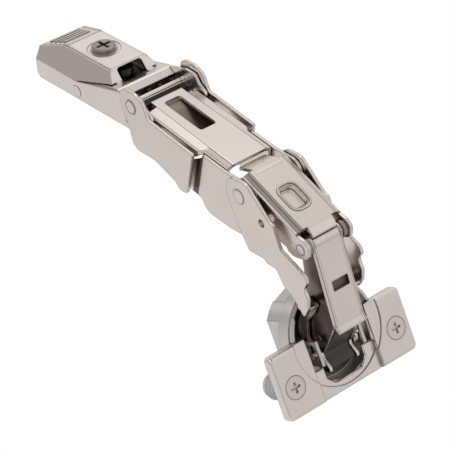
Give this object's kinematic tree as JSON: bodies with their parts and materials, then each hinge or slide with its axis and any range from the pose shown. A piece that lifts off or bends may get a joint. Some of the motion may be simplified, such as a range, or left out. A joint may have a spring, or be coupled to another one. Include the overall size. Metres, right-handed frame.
{
  "type": "concealed cup hinge",
  "caption": "Wide-angle concealed cup hinge, drawn open: slip-on arm, folded-sheet levers, knuckle and a screw-on door cup.",
  "frame": {"origin": "middle of the arm's flat seat", "axes": "+X from the arm towards the door, +Z away from the cabinet side panel, +Y across the arm"},
  "size_m": [0.1493, 0.0572, 0.0853],
  "materials": {
    "plated_sheet": "satin nickel plated sheet",
    "cast_cup": "satin nickel plated casting",
    "inner_steel": "dull plated steel",
    "screw_steel": "plated steel",
    "dark_screw": "black oxide",
    "pin_steel": "bright turned steel",
    "piston_steel": "polished rod",
    "dark_plastic": "moulded, dark grey",
    "grey_plastic": "moulded, light grey"
  },
  "bodies": {
    "arm": {"arm_housing": "plated_sheet", "arm_floor": "inner_steel", "depth_carriage": "inner_steel", "clip_pin": "pin_steel", "clip_spring": "inner_steel", "front_roller": "pin_steel", "spring_carrier": "dark_plastic", "side_bush": "inner_steel", "fold_pins": "pin_steel", "cover_pins": "pin_steel"},
    "depth_screw": {"depth_screw": "screw_steel"},
    "side_screw": {"side_screw": "dark_screw"},
    "clip_lever": {"clip_lever": "plated_sheet"},
    "rear_lever": {"rear_lever": "plated_sheet"},
    "rear_cover": {"rear_cover": "plated_sheet", "cover_pads": "dark_plastic"},
    "knuckle": {"knuckle": "plated_sheet", "mid_pin": "pin_steel", "mid_bush": "dark_plastic", "tie_pin": "pin_steel", "elbow_pin": "pin_steel"},
    "front_plates": {"front_plate_left": "plated_sheet", "front_plate_right": "plated_sheet", "neck_pins": "pin_steel"},
    "front_link": {"front_link": "plated_sheet", "link_insert": "dark_plastic", "elbow_washers": "inner_steel", "cup_top_pin": "pin_steel", "damper_block": "dark_plastic"},
    "cup": {"cup": "cast_cup", "wing_plate": "plated_sheet", "cup_dowels": "grey_plastic"},
    "damper_piston": {"damper_piston": "piston_steel"},
    "cup_screw_left": {"cup_screw_left": "screw_steel"},
    "cup_screw_right": {"cup_screw_right": "screw_steel"}
  },
  "joints": [
    {"name": "fold", "type": "hinge", "parent": "arm", "child": "rear_lever", "pos_m": [0.028, 0, 0.0108], "axis": [0, -1, 0], "range_deg": [0, 156]},
    {"name": "cover_fold", "type": "hinge", "parent": "arm", "child": "rear_cover", "pos_m": [0.0332, 0, 0.0074], "axis": [0, -1, 0], "range_deg": [-0.05, 156.35]},
    {"name": "knuckle_fold", "type": "hinge", "parent": "rear_lever", "child": "knuckle", "pos_m": [0.08074, 0, -0.00167], "axis": [0, -1, 0], "range_deg": [-138.3, 0.05]},
    {"name": "plate_fold", "type": "hinge", "parent": "rear_lever", "child": "front_plates", "pos_m": [0.08074, 0, -0.00167], "axis": [0, -1, 0], "range_deg": [-117.2, 0.05]},
    {"name": "link_fold", "type": "hinge", "parent": "knuckle", "child": "front_link", "pos_m": [0.10683, 0, -0.0113], "axis": [0, -1, 0], "range_deg": [-0.05, 22.45]},
    {"name": "cup_fold", "type": "hinge", "parent": "front_link", "child": "cup", "pos_m": [0.10999, 0, -0.04621], "axis": [0, -1, 0], "range_deg": [-0.05, 115]},
    {"name": "depth_turn", "type": "hinge", "parent": "arm", "child": "depth_screw", "pos_m": [-0.004, 0, 0.0156], "axis": [0, 0, 1], "continuous": true},
    {"name": "side_turn", "type": "hinge", "parent": "arm", "child": "side_screw", "pos_m": [0.0062, 0, 0.0108], "axis": [0, 0, 1], "continuous": true},
    {"name": "clip_release", "type": "hinge", "parent": "arm", "child": "clip_lever", "pos_m": [-0.017, 0, 0.0046], "axis": [0, -1, 0], "range_deg": [0, 8], "stiffness_Nm_per_rad": 0.5, "springref_deg": -8.59},
    {"name": "damper_push", "type": "slide", "parent": "front_link", "child": "damper_piston", "axis": [0.1512, 0, 0.9885], "range_m": [0, 0.003], "stiffness_N_per_m": 200, "springref_m": -0.002},
    {"name": "left_screw_turn", "type": "hinge", "parent": "cup", "child": "cup_screw_left", "pos_m": [0.11599, -0.0225, -0.05434], "axis": [0.9063, 0, 0.4226], "continuous": true},
    {"name": "right_screw_turn", "type": "hinge", "parent": "cup", "child": "cup_screw_right", "pos_m": [0.11599, 0.0225, -0.05434], "axis": [0.9063, 0, 0.4226], "continuous": true}
  ],
  "couplings": [
    {"joint": "cover_fold", "follows": "fold", "ratio": 1.0016},
    {"joint": "knuckle_fold", "follows": "fold", "ratio": -0.88583},
    {"joint": "plate_fold", "follows": "fold", "ratio": -0.75038},
    {"joint": "link_fold", "follows": "fold", "ratio": 0.14333},
    {"joint": "cup_fold", "follows": "fold", "ratio": 0.73609}
  ]
}
